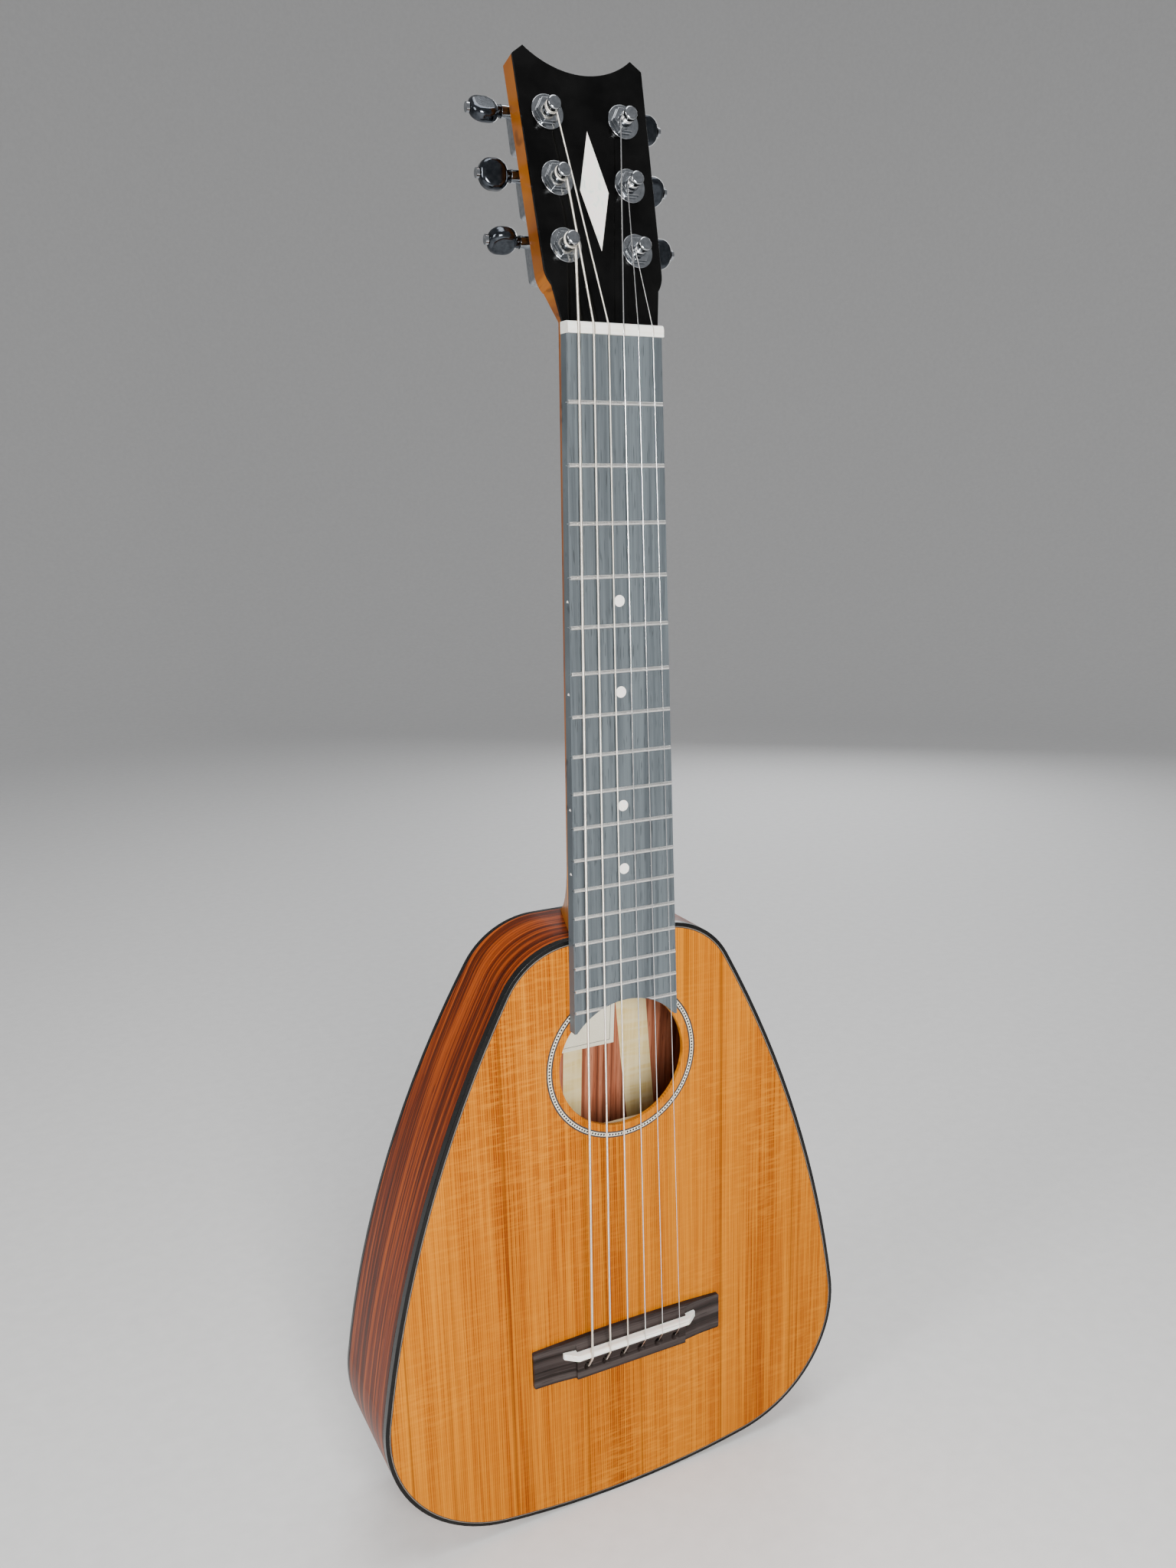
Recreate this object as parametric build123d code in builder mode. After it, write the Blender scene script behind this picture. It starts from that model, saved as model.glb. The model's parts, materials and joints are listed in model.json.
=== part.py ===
from build123d import *
import math
import os

os.makedirs("parts", exist_ok=True)

# A six-string travel guitar, in millimetres. The frame: X to the right as seen from the front,
# Y from the soundboard into the body, Z up the neck. Z is 0 at the tail, X is 0 on the centre line.

# --- driving dimensions -------------------------------------------------------------------------
SCALE = 508.0                # nut to the end of the scale
SCALE_END = 107.0            # height of the end of the scale above the tail
NUT_Z = SCALE_END + SCALE
BOARD_Y = -38.7              # the fretboard's playing face; Y is 0 halfway through the guitar
BOARD_T = 6.0
FACE_Y = BOARD_Y + BOARD_T   # the soundboard's outer face

# Body: the half outline is a chain of arcs (radius, degrees) from the tail round to the shoulder.
OUTLINE = ((480.0, 9.1), (74.7, 89.4), (663.6, 20.2), (43.4, 61.3))
TOP_T = 2.6
SIDE_T = 2.0
BACK_T = 2.5
TAIL_DEPTH = 77.5            # soundboard to back at the tail, on the centre line
DISH_R = 2480.0              # radius of the dished back
BINDING_H = 5.0
BACK_BINDING_H = 4.0
PURFLING = (0.45, 0.30)      # widths of the white line and of the black line inside it
GLUE_LINE = 0.02             # between the two purfling lines
PURFLING_T = 1.3
LINING_W = 6.0
LINING_H = 14.0
HOLE_Z = SCALE_END + 156.4
HOLE_R = 36.0
ROSETTE_R = 43.2
ROSETTE_W = 3.4
ROSETTE_T = 1.2
CENTRE_STRIPE_HALF = 5.8
SIDE_STRIPE = ((18.3, 38.2), (59.3, 75.4))   # inner and outer edge at the shoulder and at the tail
NECK_BLOCK = (30.0, 305.0)                   # half width and lower end
TAIL_BLOCK = (35.0, 20.0)                    # half width and upper end
TOP_BRACES = (50.0, 150.0, 220.0)
BACK_BRACES = (70.0, 178.0, 294.0)
BRACE_W = 8.0
BRACE_H = 9.0
HOLE_PATCH = (3.0, 21.0, 28.0, 1.8)          # inner and outer edge from the hole, half length, thickness
PLATE = (62.0, 80.0, 112.0, 2.5)             # bridge plate: half width, lower end, upper end, thickness
LABEL = (-36.5, 25.5, 244.8, 289.3, 0.3)     # left, right, lower, upper, thickness

# Fretboard
BOARD_NUT_W = 47.5
BOARD_12_W = 56.2
BOARD_END = 286.0
FRETS = 17
FRET_W = 2.0
FRET_H = 0.95
FRET_INSET = 0.5
TANG_W = 0.5
TANG_H = 2.0
DOT_FRETS = (5, 7, 10, 12)
DOT_R = 2.7
DOT_T = 1.2
SIDE_DOT_R = 1.1
SIDE_DOT_L = 2.0
SIDE_DOT_DEPTH = 2.3         # of a side dot under the playing face
NUT_T = 5.0
NUT_ROUND = 2.0              # along its upper edge
NUT_PROUD = 2.2              # of the nut above the playing face
NUT_SLOT = 1.2               # floor of a string slot above the playing face
ROD = (6.0, 8.0, 344.0, 600.0)               # truss rod: width, depth, lower end, upper end

# Headstock, drawn on its own tilted face: U across, V up from the nut, N out of the face
HEAD_TILT = 14.0
HEAD_DROP = 3.5              # the face at the nut lies this far under the playing face
VENEER_T = 1.5
HEAD_T = 11.0                # with the veneer
HEAD_ROOT = 16.0             # where the neck's round back has become the flat slab
HEAD_SIDE = ((31.4, 113.9), (29.2, 24.0))    # half width and V of the straight side's ends
HEAD_FLARE = (28.25, 19.2)                   # a point on the curve below it
HEAD_ROOT_HALF = 26.4
SCOOP_V = 108.4
SCOOP_R = 40.7
SCOOP_ARC = 39.9
INLAY = (58.0, 7.0, 26.0)                    # diamond: centre V, half width, half height
INLAY_T = 1.0

# Neck sections: half width, flank half width, flank depth and back depth
HEAD_STEP = 0.95                             # step down from the nut's seat to the headstock's root
NECK_TOP = (23.75, 23.45, 2.5 + HEAD_STEP, 14.0 + HEAD_STEP)
NECK_ROOT = (26.4, 26.1, 9.3, 9.5)
NECK_JOINT = 375.0
NECK_SECTIONS = {620.0: (23.75, 23.45, 2.5, 14.0), NECK_JOINT: (27.85, 27.55, 2.0, 17.0)}
HEEL_MIDDLE = 350.0
HEEL_WAIST = (28.3, 20.5, 21.0, 29.0)
HEEL_FOOT = (27.0, 10.5, 50.0, 53.5)
BOLTS = ((14.0, 356.0), (32.0, 344.0))       # depth under the soundboard and upper end of each bolt
BOLT_R = 3.0
BOLT_HEAD = (5.0, 4.0)                       # radius and height
BOLT_KEY = 5.0                               # across the flats of the key socket
BOLT_KEY_DEPTH = 2.8
FIT = 0.1                                    # play of a screw or bolt in its hole

# Bridge and saddle
BRIDGE_HALF = 57.3
BRIDGE_BLOCK_HALF = 33.5
BRIDGE_H = 6.0
BRIDGE_CORNER = 1.2
BRIDGE_Z = (85.5, 107.2, 108.8)              # back edge, front edge at the ends and at the middle
BRIDGE_NOSE = (2.5, 103.5)                   # height of the front face, where the slope meets the top
WING_H = (4.0, 2.4)                          # wing height by the block and at its tip
WING_HOLLOW = 0.5                            # dip of a wing's curved top
SADDLE_Z = 101.0
SADDLE_T = 3.6
SADDLE_HALF = 40.5
SADDLE_FLAT = 33.0
SADDLE_Y = BOARD_Y - 4.8                     # top of the saddle
SADDLE_END_H = 4.4                           # height of its ends above the soundboard
SADDLE_SLOT = 1.5                            # floor of its slot above the soundboard
STRING_HOLE_Z = 92.2
STRING_HOLE_R = 1.1
STRING_SINK = (2.6, 2.0)                     # countersink radius and depth

# Strings, 1 (treble) to 6 (bass)
GAUGES = {1: 0.32, 2: 0.42, 3: 0.60, 4: 0.80, 5: 1.00, 6: 1.25}
SADDLE_PITCH = 10.8
NUT_PITCH = 7.4
BREAK = math.radians(34.0)                   # of a string behind the saddle
STRING_GAP = 0.04                            # between a string and what it lies on
NUT_BREAK_Z = NUT_Z + 3.7
NUT_FALL_Z = NUT_Z + 2.4                     # from here a slot's floor falls towards the headstock
NUT_FALL = 0.7
NUT_PLAY = 0.2                               # beside a string in its slot
BALL_R = 2.0
BALL_L = 3.6
BALL_BEND_R = 2.0
NUT_BEND_R = 10.0
POST_GAP = 0.12                              # between a string and its post
FLOOR_GAP = 0.15                             # between a string and the bushing nut
TURN_GAP = 0.1                               # between a string and its first turn
MOST_TURNS = 4

# Tuners, 1 to 3 on the treble side from the bottom up, 6 to 4 on the bass side
POST_UV = ((17.6, 33.0), (17.8, 61.8), (18.5, 90.0))
BUTTON_TURN = {1: 25.0, 2: 40.0, 3: 20.0, 4: 32.0, 5: -9.0, 6: -72.0}   # at rest
POST_R = 3.0
POST_TOP = 9.4
POST_FOOT = -22.6
POST_ROUND = 0.9
CROSS_HOLE_R = 0.8
CROSS_HOLE_N = 6.3
WAIST_R = 2.3
WAIST_N = (3.3, 7.6)
CAP_R = 3.1
NUT_TOP = 3.2                                # top of the hexagonal bushing nut above the face
WASHER_T = 1.0
WASHER_R = 7.5
HEX_FLATS = 10.0
SLEEVE_R = 4.0
RUNNING = 0.05                               # radial clearance of a turning shaft
TEETH = 15
GEAR_R = 6.2                                 # pitch radius of the worm wheel
GEAR_ROOT_R = 5.2
GEAR_TIP_R = 6.8
GEAR_T = 2.4
TOOTH_HALF = (0.8, 0.42)                     # half width at the root and at the tip
WORM_R = 2.3                                 # pitch radius of the worm
WORM_CORE_R = 1.5
WORM_TIP_R = 3.0
WORM_TURNS = 3
THREAD_HALF = (0.62, 0.26)                   # half width at the root and at the crest
THREAD_SINK = 0.3                            # of the thread into its core
WORM_LEAD = 2 * math.pi * GEAR_R / TEETH
WORM_END = 5.0                               # where the worm meets its shaft
SHAFT_V = GEAR_R + WORM_R                    # the worm shaft passes this far above the post
SHAFT_N = -19.0                              # and this far under the headstock's face
SHAFT_R = 2.0
JOURNAL_R = 1.5
CASE = (-8.5, 8.5, -8.5, 13.5)              # housing about its post: inner, outer, lower, upper
CASE_DEPTH = 13.6
CASE_WALL = 1.2
CASE_CORNER = 2.4
BOSS_R = 2.9
BOSS_OUT = 13.4
BUTTON_OUT = (14.8, 28.2)                    # from the post's axis
BUTTON_W = 13.2
BUTTON_T = 6.6
BUTTON_CORNER = 5.6                          # of its face
BUTTON_EDGE = 2.5
BUTTON_COLLAR = (2.6, 1.2)                   # radius and length
SHAFT_END = 27.1
END_SCREW = (1.0, 6.0, 2.2, 1.4)             # shank radius, hole depth, head radius and height
LUG = (3.6, 1.6)                             # half width and thickness
SCREW_V = -10.6
SCREW_R = 1.2
SCREW_L = 7.5
SCREW_HEAD = (2.1, 1.4)                      # radius and height


# --- derived sizes --------------------------------------------------------------------------------
def outline_end():
    """X and Z of the end of the arc chain, where the flat top of the body begins."""
    x = z = heading = 0.0
    for radius, arc in OUTLINE:
        turned = heading + math.radians(arc)
        x += radius * (math.sin(turned) - math.sin(heading))
        z += radius * (math.cos(heading) - math.cos(turned))
        heading = turned
    return x, z


FLAT_HALF, BODY_TOP = outline_end()
UNDER_Y = FACE_Y + TOP_T                     # the soundboard's inner face
DISH_Y = FACE_Y + TAIL_DEPTH - DISH_R        # centre of the dished back's ball
DEEP = TAIL_DEPTH + 4.0                      # further than the body is deep

TILT = math.radians(HEAD_TILT)
HEAD = Plane(
    origin=(0, BOARD_Y + HEAD_DROP, NUT_Z + NUT_T),
    x_dir=(1, 0, 0),
    z_dir=(0, -math.cos(TILT), math.sin(TILT)),
)
STRINGS = range(1, 7)
FROM_BASE = (Align.CENTER, Align.CENTER, Align.MIN)
TO_TOP = (Align.CENTER, Align.CENTER, Align.MAX)
TREBLE = (1, 2, 3)


def front(y):
    """Plane at depth y, seen from the front: local X is X, local Y is Z, the normal faces out."""
    return Plane.XZ.offset(-y)


def fret_z(n):
    return SCALE_END + SCALE * 2 ** (-n / 12)


def space_z(n):
    """Middle of the space behind fret n."""
    return (fret_z(n - 1) + fret_z(n)) / 2


def board_half(z):
    """Half width of the fretboard at height z."""
    return BOARD_NUT_W / 2 + (NUT_Z - z) * (BOARD_12_W - BOARD_NUT_W) / SCALE


def string_x(k, pitch):
    return (3.5 - k) * pitch


def side_of(k):
    """+1 for a treble string's tuner, -1 for a bass one."""
    return 1 if k <= 3 else -1


def post_uv(k):
    u, v = POST_UV[min(k, 7 - k) - 1]
    return side_of(k) * u, v


def head_point(u, v, n):
    return HEAD.from_local_coords((u, v, n))


def head_section(v, n):
    """Plane square to the headstock: local X is X, local Y goes from the face to the back."""
    return Plane(origin=head_point(0, v, n), x_dir=(1, 0, 0), z_dir=HEAD.y_dir)


def post_plane(k, n):
    """Plane parallel to the headstock's face, centred on a post."""
    u, v = post_uv(k)
    return Plane(origin=head_point(u, v, n), x_dir=(1, 0, 0), z_dir=HEAD.z_dir)


def screw_plane(k, n):
    """Plane parallel to the headstock's face, centred on a housing's screw."""
    u, v = post_uv(k)
    return Plane(origin=head_point(u, v + SCREW_V, n), x_dir=(1, 0, 0), z_dir=HEAD.z_dir)


def shaft_plane(k, out, turn=0.0):
    """Plane square to a worm shaft, `out` from the post's axis; its normal points to the button."""
    u, v = post_uv(k)
    origin = head_point(u + side_of(k) * out, v + SHAFT_V, SHAFT_N)
    lean = math.radians(turn)
    x_dir = HEAD.y_dir * math.cos(lean) + HEAD.z_dir * side_of(k) * math.sin(lean)
    return Plane(origin=origin, x_dir=x_dir, z_dir=(side_of(k), 0, 0))


# --- shared outlines ------------------------------------------------------------------------------
def body_outline(inset, mode=Mode.ADD):
    """The body's outline, inset by a wall thickness, as a face in the open sketch."""
    with BuildLine() as outline:
        start, heading = Vector(0, inset), Vector(1, 0)
        for radius, arc in OUTLINE:
            edge = JernArc(start, heading, radius - inset, arc)
            start, heading = edge @ 1, edge % 1
        Line(start, (0, start.Y))
        mirror(about=Plane.YZ)
    make_face(outline.edges(), mode=mode)


def body_ring(outer, inner):
    body_outline(outer)
    body_outline(inner, mode=Mode.SUBTRACT)


def dish(depth, mode):
    """Keep (or remove) what lies in front of the surface `depth` inside the dished back."""
    with Locations((0, DISH_Y, 0)):
        Sphere(DISH_R - depth, mode=mode)


def polygon(*points, mode=Mode.ADD):
    Polygon(*points, align=None, mode=mode)


def rectangle(x_from, x_to, y_from, y_to, mode=Mode.ADD):
    with Locations(((x_from + x_to) / 2, (y_from + y_to) / 2)):
        Rectangle(x_to - x_from, y_to - y_from, mode=mode)


def plug(x, z, radius, y_from, y_to, mode=Mode.SUBTRACT):
    """A round plug along Y."""
    with Locations(Location((x, (y_from + y_to) / 2, z), (90, 0, 0))):
        Cylinder(radius, y_to - y_from, mode=mode)


def string_holes(radius, y_from, y_to):
    """The six holes that the strings pass through, behind the saddle."""
    for k in STRINGS:
        plug(string_x(k, SADDLE_PITCH), STRING_HOLE_Z, radius, y_from, y_to)


def bolt_holes(z_from):
    for depth, z_to in BOLTS:
        with Locations((0, FACE_Y + depth, (z_from + z_to) / 2)):
            Cylinder(BOLT_R + FIT, z_to - z_from + 2, mode=Mode.SUBTRACT)


def d_section(half, flank_half, flank, depth):
    """Neck section: flat on top, straight flanks, a round back; local Y is the depth."""
    with BuildLine() as outline:
        Polyline((flank_half, flank), (half, 0), (-half, 0), (-flank_half, flank))
        ThreePointArc((-flank_half, flank), (0, depth), (flank_half, flank))
    make_face(outline.edges())


def head_outline(lower):
    """The headstock's face above V = lower: flared at the nut, tapered sides, a scooped top."""
    with BuildLine() as outline:
        scoop = CenterArc((0, SCOOP_V + SCOOP_R), SCOOP_R, -90, SCOOP_ARC)
        Polyline(scoop @ 1, *HEAD_SIDE)
        ThreePointArc(HEAD_SIDE[1], HEAD_FLARE, (HEAD_ROOT_HALF, HEAD_ROOT))
        Polyline((HEAD_ROOT_HALF, HEAD_ROOT), (BOARD_NUT_W / 2, 0), (0, 0))
        mirror(about=Plane.YZ)
    make_face(outline.edges())
    reach = HEAD_SIDE[0][0]
    rectangle(-reach, reach, -1, lower, mode=Mode.SUBTRACT)


def save(part, name):
    part.label = name
    export_step(part, f"parts/{name}.step")


# --- body -----------------------------------------------------------------------------------------
with BuildPart() as soundboard:
    with BuildSketch(front(FACE_Y)):
        body_outline(SIDE_T)
    extrude(amount=-TOP_T)
    with BuildSketch(front(FACE_Y)):
        body_ring(SIDE_T, SIDE_T + sum(PURFLING) + GLUE_LINE)
    extrude(amount=-PURFLING_T, mode=Mode.SUBTRACT)
    plug(0, HOLE_Z, ROSETTE_R, FACE_Y, FACE_Y + ROSETTE_T)
    plug(0, HOLE_Z, ROSETTE_R - ROSETTE_W, FACE_Y, UNDER_Y, mode=Mode.ADD)
    plug(0, HOLE_Z, HOLE_R, FACE_Y - 1, UNDER_Y + 1)
    string_holes(STRING_HOLE_R, FACE_Y - 1, UNDER_Y + 1)
save(soundboard.part, "soundboard")

with BuildPart() as top_binding:
    with BuildSketch(front(FACE_Y)):
        body_ring(0, SIDE_T)
    extrude(amount=-BINDING_H)
save(top_binding.part, "top_binding")

with BuildPart() as top_purfling:
    inset = SIDE_T
    for width in PURFLING:
        with BuildSketch(front(FACE_Y)):
            body_ring(inset, inset + width)
        extrude(amount=-PURFLING_T)
        inset += width + GLUE_LINE
save(top_purfling.part, "top_purfling")

with BuildPart() as rosette:
    plug(0, HOLE_Z, ROSETTE_R, FACE_Y, FACE_Y + ROSETTE_T, mode=Mode.ADD)
    plug(0, HOLE_Z, ROSETTE_R - ROSETTE_W, FACE_Y, FACE_Y + ROSETTE_T)
save(rosette.part, "rosette")

with BuildPart() as sides:
    with BuildSketch(front(FACE_Y + BINDING_H)):
        body_ring(0, SIDE_T)
    extrude(amount=-DEEP)
    dish(BACK_BINDING_H, Mode.INTERSECT)
    bolt_holes(NECK_BLOCK[1])

for name, half in (("side_bass", Keep.BOTTOM), ("side_treble", Keep.TOP)):
    with BuildPart() as side:
        add(sides.part)
        split(bisect_by=Plane.YZ, keep=half)
    save(side.part, name)

with BuildPart() as back_binding:
    with BuildSketch(front(FACE_Y + BINDING_H)):
        body_ring(0, SIDE_T)
    extrude(amount=-DEEP)
    dish(0, Mode.INTERSECT)
    dish(BACK_BINDING_H, Mode.SUBTRACT)
save(back_binding.part, "back_binding")


def back_plate(stripes_mode):
    """The dished back plate, with its pale stripes kept or cut away."""
    with BuildSketch(front(FACE_Y)) as plate:
        body_outline(SIDE_T)
    extrude(plate.sketch, amount=-DEEP)
    dish(0, Mode.INTERSECT)
    dish(BACK_T, Mode.SUBTRACT)
    (top_in, top_out), (tail_in, tail_out) = SIDE_STRIPE
    with BuildSketch(front(FACE_Y)) as stripes:
        polygon((top_in, BODY_TOP), (top_out, BODY_TOP), (tail_out, 0), (tail_in, 0))
        mirror(about=Plane.YZ)
        rectangle(-CENTRE_STRIPE_HALF, CENTRE_STRIPE_HALF, 0, BODY_TOP)
    extrude(stripes.sketch, amount=-DEEP, mode=stripes_mode)


with BuildPart() as back_stripes:
    back_plate(Mode.INTERSECT)
save(back_stripes.part, "back_stripes")

with BuildPart() as back_staves:
    back_plate(Mode.SUBTRACT)
save(back_staves.part, "back_staves")


def end_block(half, z_from, z_to):
    """A block that joins the sides, from the soundboard to the back."""
    with BuildSketch(front(UNDER_Y)) as block:
        body_outline(SIDE_T)
        rectangle(-half, half, z_from, z_to, mode=Mode.INTERSECT)
    extrude(block.sketch, amount=-DEEP)
    dish(BACK_T, Mode.INTERSECT)


with BuildPart() as neck_block:
    end_block(NECK_BLOCK[0], NECK_BLOCK[1], BODY_TOP)
    bolt_holes(NECK_BLOCK[1])
save(neck_block.part, "neck_block")

with BuildPart() as tail_block:
    end_block(TAIL_BLOCK[0], 0, TAIL_BLOCK[1])
save(tail_block.part, "tail_block")


def lining_ring():
    """Ring inside the sides, open at the two end blocks."""
    body_ring(SIDE_T, SIDE_T + LINING_W)
    rectangle(-NECK_BLOCK[0], NECK_BLOCK[0], NECK_BLOCK[1], BODY_TOP, mode=Mode.SUBTRACT)
    rectangle(-TAIL_BLOCK[0], TAIL_BLOCK[0], 0, TAIL_BLOCK[1], mode=Mode.SUBTRACT)


with BuildPart() as back_lining:
    with BuildSketch(front(UNDER_Y)):
        lining_ring()
    extrude(amount=-DEEP)
    dish(BACK_T, Mode.INTERSECT)
    dish(BACK_T + LINING_H, Mode.SUBTRACT)

with BuildPart() as linings:
    with BuildSketch(front(UNDER_Y)):
        lining_ring()
    extrude(amount=-LINING_H)
    add(back_lining.part)
save(linings.part, "linings")


def brace_bars(heights):
    """Bars across the body between the linings, seen from the front."""
    with Locations([(0, z) for z in heights]):
        Rectangle(400, BRACE_W)
    body_outline(SIDE_T + LINING_W + FIT, mode=Mode.INTERSECT)


with BuildPart() as top_braces:
    with BuildSketch(front(UNDER_Y)):
        brace_bars(TOP_BRACES)
    extrude(amount=-BRACE_H)
    with BuildSketch(front(UNDER_Y)):
        inner, outer, reach, thickness = HOLE_PATCH
        rectangle(HOLE_R + inner, HOLE_R + outer, HOLE_Z - reach, HOLE_Z + reach)
        mirror(about=Plane.YZ)
    extrude(amount=-thickness)
save(top_braces.part, "top_braces")

with BuildPart() as back_braces:
    with BuildSketch(front(UNDER_Y)):
        brace_bars(BACK_BRACES)
    extrude(amount=-DEEP)
    dish(BACK_T, Mode.INTERSECT)
    dish(BACK_T + BRACE_H, Mode.SUBTRACT)
save(back_braces.part, "back_braces")

with BuildPart() as bridge_plate:
    half, z_from, z_to, thickness = PLATE
    with BuildSketch(front(UNDER_Y)):
        rectangle(-half, half, z_from, z_to)
    extrude(amount=-thickness)
    string_holes(STRING_HOLE_R, UNDER_Y - 1, UNDER_Y + thickness + 1)
save(bridge_plate.part, "bridge_plate")

with BuildPart() as label:
    left, right, lower, upper, thickness = LABEL
    with BuildSketch(front(UNDER_Y)):
        rectangle(left, right, lower, upper)
    extrude(amount=-DEEP)
    dish(BACK_T, Mode.INTERSECT)
    dish(BACK_T + thickness, Mode.SUBTRACT)
save(label.part, "label")

# --- bridge and saddle ----------------------------------------------------------------------------
with BuildPart() as bridge:
    back_z, end_z, nose_z = BRIDGE_Z
    nose_h, slope_z = BRIDGE_NOSE
    top_y = FACE_Y - BRIDGE_H
    wing_y, tip_y = FACE_Y - WING_H[0], FACE_Y - WING_H[1]
    with BuildSketch(front(FACE_Y)):
        with BuildLine():
            Polyline(
                (BRIDGE_HALF, end_z),
                (BRIDGE_HALF, back_z),
                (-BRIDGE_HALF, back_z),
                (-BRIDGE_HALF, end_z),
            )
            ThreePointArc((-BRIDGE_HALF, end_z), (0, nose_z), (BRIDGE_HALF, end_z))
        make_face()
    extrude(amount=BRIDGE_H)
    fillet(bridge.edges().filter_by(Axis.Y), BRIDGE_CORNER)
    with BuildSketch(Plane.XY):
        with BuildLine():
            wing = ((BRIDGE_BLOCK_HALF + BRIDGE_HALF) / 2, (wing_y + tip_y) / 2 + WING_HOLLOW)
            ThreePointArc((BRIDGE_BLOCK_HALF, wing_y), wing, (BRIDGE_HALF, tip_y))
            Polyline(
                (BRIDGE_HALF, tip_y),
                (BRIDGE_HALF + 1, tip_y),
                (BRIDGE_HALF + 1, top_y - 1),
                (BRIDGE_BLOCK_HALF, top_y - 1),
                (BRIDGE_BLOCK_HALF, wing_y),
            )
        make_face()
        mirror(about=Plane.YZ)
    extrude(amount=2 * nose_z, both=True, mode=Mode.SUBTRACT)
    with BuildSketch(Plane.YZ):
        polygon(
            (FACE_Y - nose_h, nose_z),
            (top_y, slope_z),
            (top_y - 1, slope_z),
            (top_y - 1, nose_z + 1),
            (FACE_Y - nose_h, nose_z + 1),
        )
    extrude(amount=BRIDGE_HALF + 1, both=True, mode=Mode.SUBTRACT)
    with BuildSketch(front(FACE_Y - SADDLE_SLOT)):
        with Locations((0, SADDLE_Z)):
            Rectangle(2 * (SADDLE_HALF + FIT), SADDLE_T)
    extrude(amount=BRIDGE_H, mode=Mode.SUBTRACT)
    string_holes(STRING_HOLE_R, top_y - 1, FACE_Y + 1)
    for k in STRINGS:
        sink_r, sink_h = STRING_SINK
        place = (string_x(k, SADDLE_PITCH), top_y + sink_h / 2, STRING_HOLE_Z)
        with Locations(Location(place, (90, 0, 0))):
            Cone(STRING_HOLE_R, sink_r, sink_h, mode=Mode.SUBTRACT)
save(bridge.part, "bridge")

with BuildPart() as saddle:
    crest_y = SADDLE_Y + SADDLE_T / 2
    floor_y = FACE_Y - SADDLE_SLOT
    with BuildSketch(Plane.YZ):
        with Locations((crest_y, SADDLE_Z)):
            Circle(SADDLE_T / 2)
        rectangle(crest_y, floor_y, SADDLE_Z - SADDLE_T / 2, SADDLE_Z + SADDLE_T / 2)
    extrude(amount=SADDLE_HALF, both=True)
    end_y = FACE_Y - SADDLE_END_H
    with BuildSketch(Plane.XY.offset(SADDLE_Z)):
        polygon(
            (-SADDLE_HALF, floor_y),
            (SADDLE_HALF, floor_y),
            (SADDLE_HALF, end_y),
            (SADDLE_FLAT, SADDLE_Y),
            (-SADDLE_FLAT, SADDLE_Y),
            (-SADDLE_HALF, end_y),
        )
    extrude(amount=SADDLE_T, both=True, mode=Mode.INTERSECT)
save(saddle.part, "saddle")

# --- neck -----------------------------------------------------------------------------------------
def post_holes(radius):
    """The six holes for the tuners' sleeves, right through the headstock."""
    for k in STRINGS:
        with Locations(post_plane(k, 0)):
            Cylinder(radius, 3 * HEAD_T, mode=Mode.SUBTRACT)


def neck_section(z, step=0.0):
    """Level plane through the neck: local X is X, local Y is the depth under the fretboard."""
    return Plane(origin=(0, FACE_Y - step, z))


with BuildPart() as neck_shaft:
    for z, section in NECK_SECTIONS.items():
        with BuildSketch(neck_section(z)):
            d_section(*section)
    loft(ruled=True)

with BuildPart() as neck_root:
    with BuildSketch(neck_section(NUT_Z + NUT_T, HEAD_STEP)):
        d_section(*NECK_TOP)
    with BuildSketch(head_section(HEAD_ROOT, -VENEER_T)):
        d_section(*NECK_ROOT)
    loft(ruled=True)

with BuildPart() as heel:
    with BuildSketch(neck_section(BODY_TOP)):
        d_section(*HEEL_FOOT)
    with BuildSketch(neck_section(HEEL_MIDDLE)):
        d_section(*HEEL_WAIST)
    with BuildSketch(neck_section(NECK_JOINT)):
        d_section(*NECK_SECTIONS[NECK_JOINT])
    loft()

with BuildPart() as neck:
    with BuildSketch(HEAD.offset(-VENEER_T)):
        head_outline(HEAD_ROOT)
    extrude(amount=VENEER_T - HEAD_T)
    add(neck_root.part)
    add(neck_shaft.part)
    add(heel.part)
    post_holes(SLEEVE_R + RUNNING)
    for k in STRINGS:
        with Locations(screw_plane(k, -HEAD_T)):
            Cylinder(SCREW_R + FIT, 2 * SCREW_L, mode=Mode.SUBTRACT)
    bolt_holes(BODY_TOP)
    rod_w, rod_h, rod_from, rod_to = ROD
    with BuildSketch(front(FACE_Y)):
        rectangle(-rod_w / 2 - FIT, rod_w / 2 + FIT, rod_from - FIT, rod_to + FIT)
    extrude(amount=-rod_h - FIT, mode=Mode.SUBTRACT)
save(neck.part, "neck")

with BuildPart() as truss_rod:
    with BuildSketch(front(FACE_Y)):
        rectangle(-rod_w / 2, rod_w / 2, rod_from, rod_to)
    extrude(amount=-rod_h)
save(truss_rod.part, "truss_rod")

with BuildPart() as neck_bolts:
    head_r, head_h = BOLT_HEAD
    for depth, z_to in BOLTS:
        with Locations((0, FACE_Y + depth, NECK_BLOCK[1])):
            Cylinder(BOLT_R, z_to - NECK_BLOCK[1], align=FROM_BASE)
            Cylinder(head_r, head_h, align=TO_TOP)
        with BuildSketch(Plane(origin=(0, FACE_Y + depth, NECK_BLOCK[1] - head_h))):
            RegularPolygon(BOLT_KEY / 2, 6, major_radius=False)
        extrude(amount=BOLT_KEY_DEPTH, mode=Mode.SUBTRACT)
save(neck_bolts.part, "neck_bolts")

def diamond():
    """The inlay's outline on the headstock's face."""
    middle, half, reach = INLAY
    polygon((half, middle), (0, middle + reach), (-half, middle), (0, middle - reach))


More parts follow.
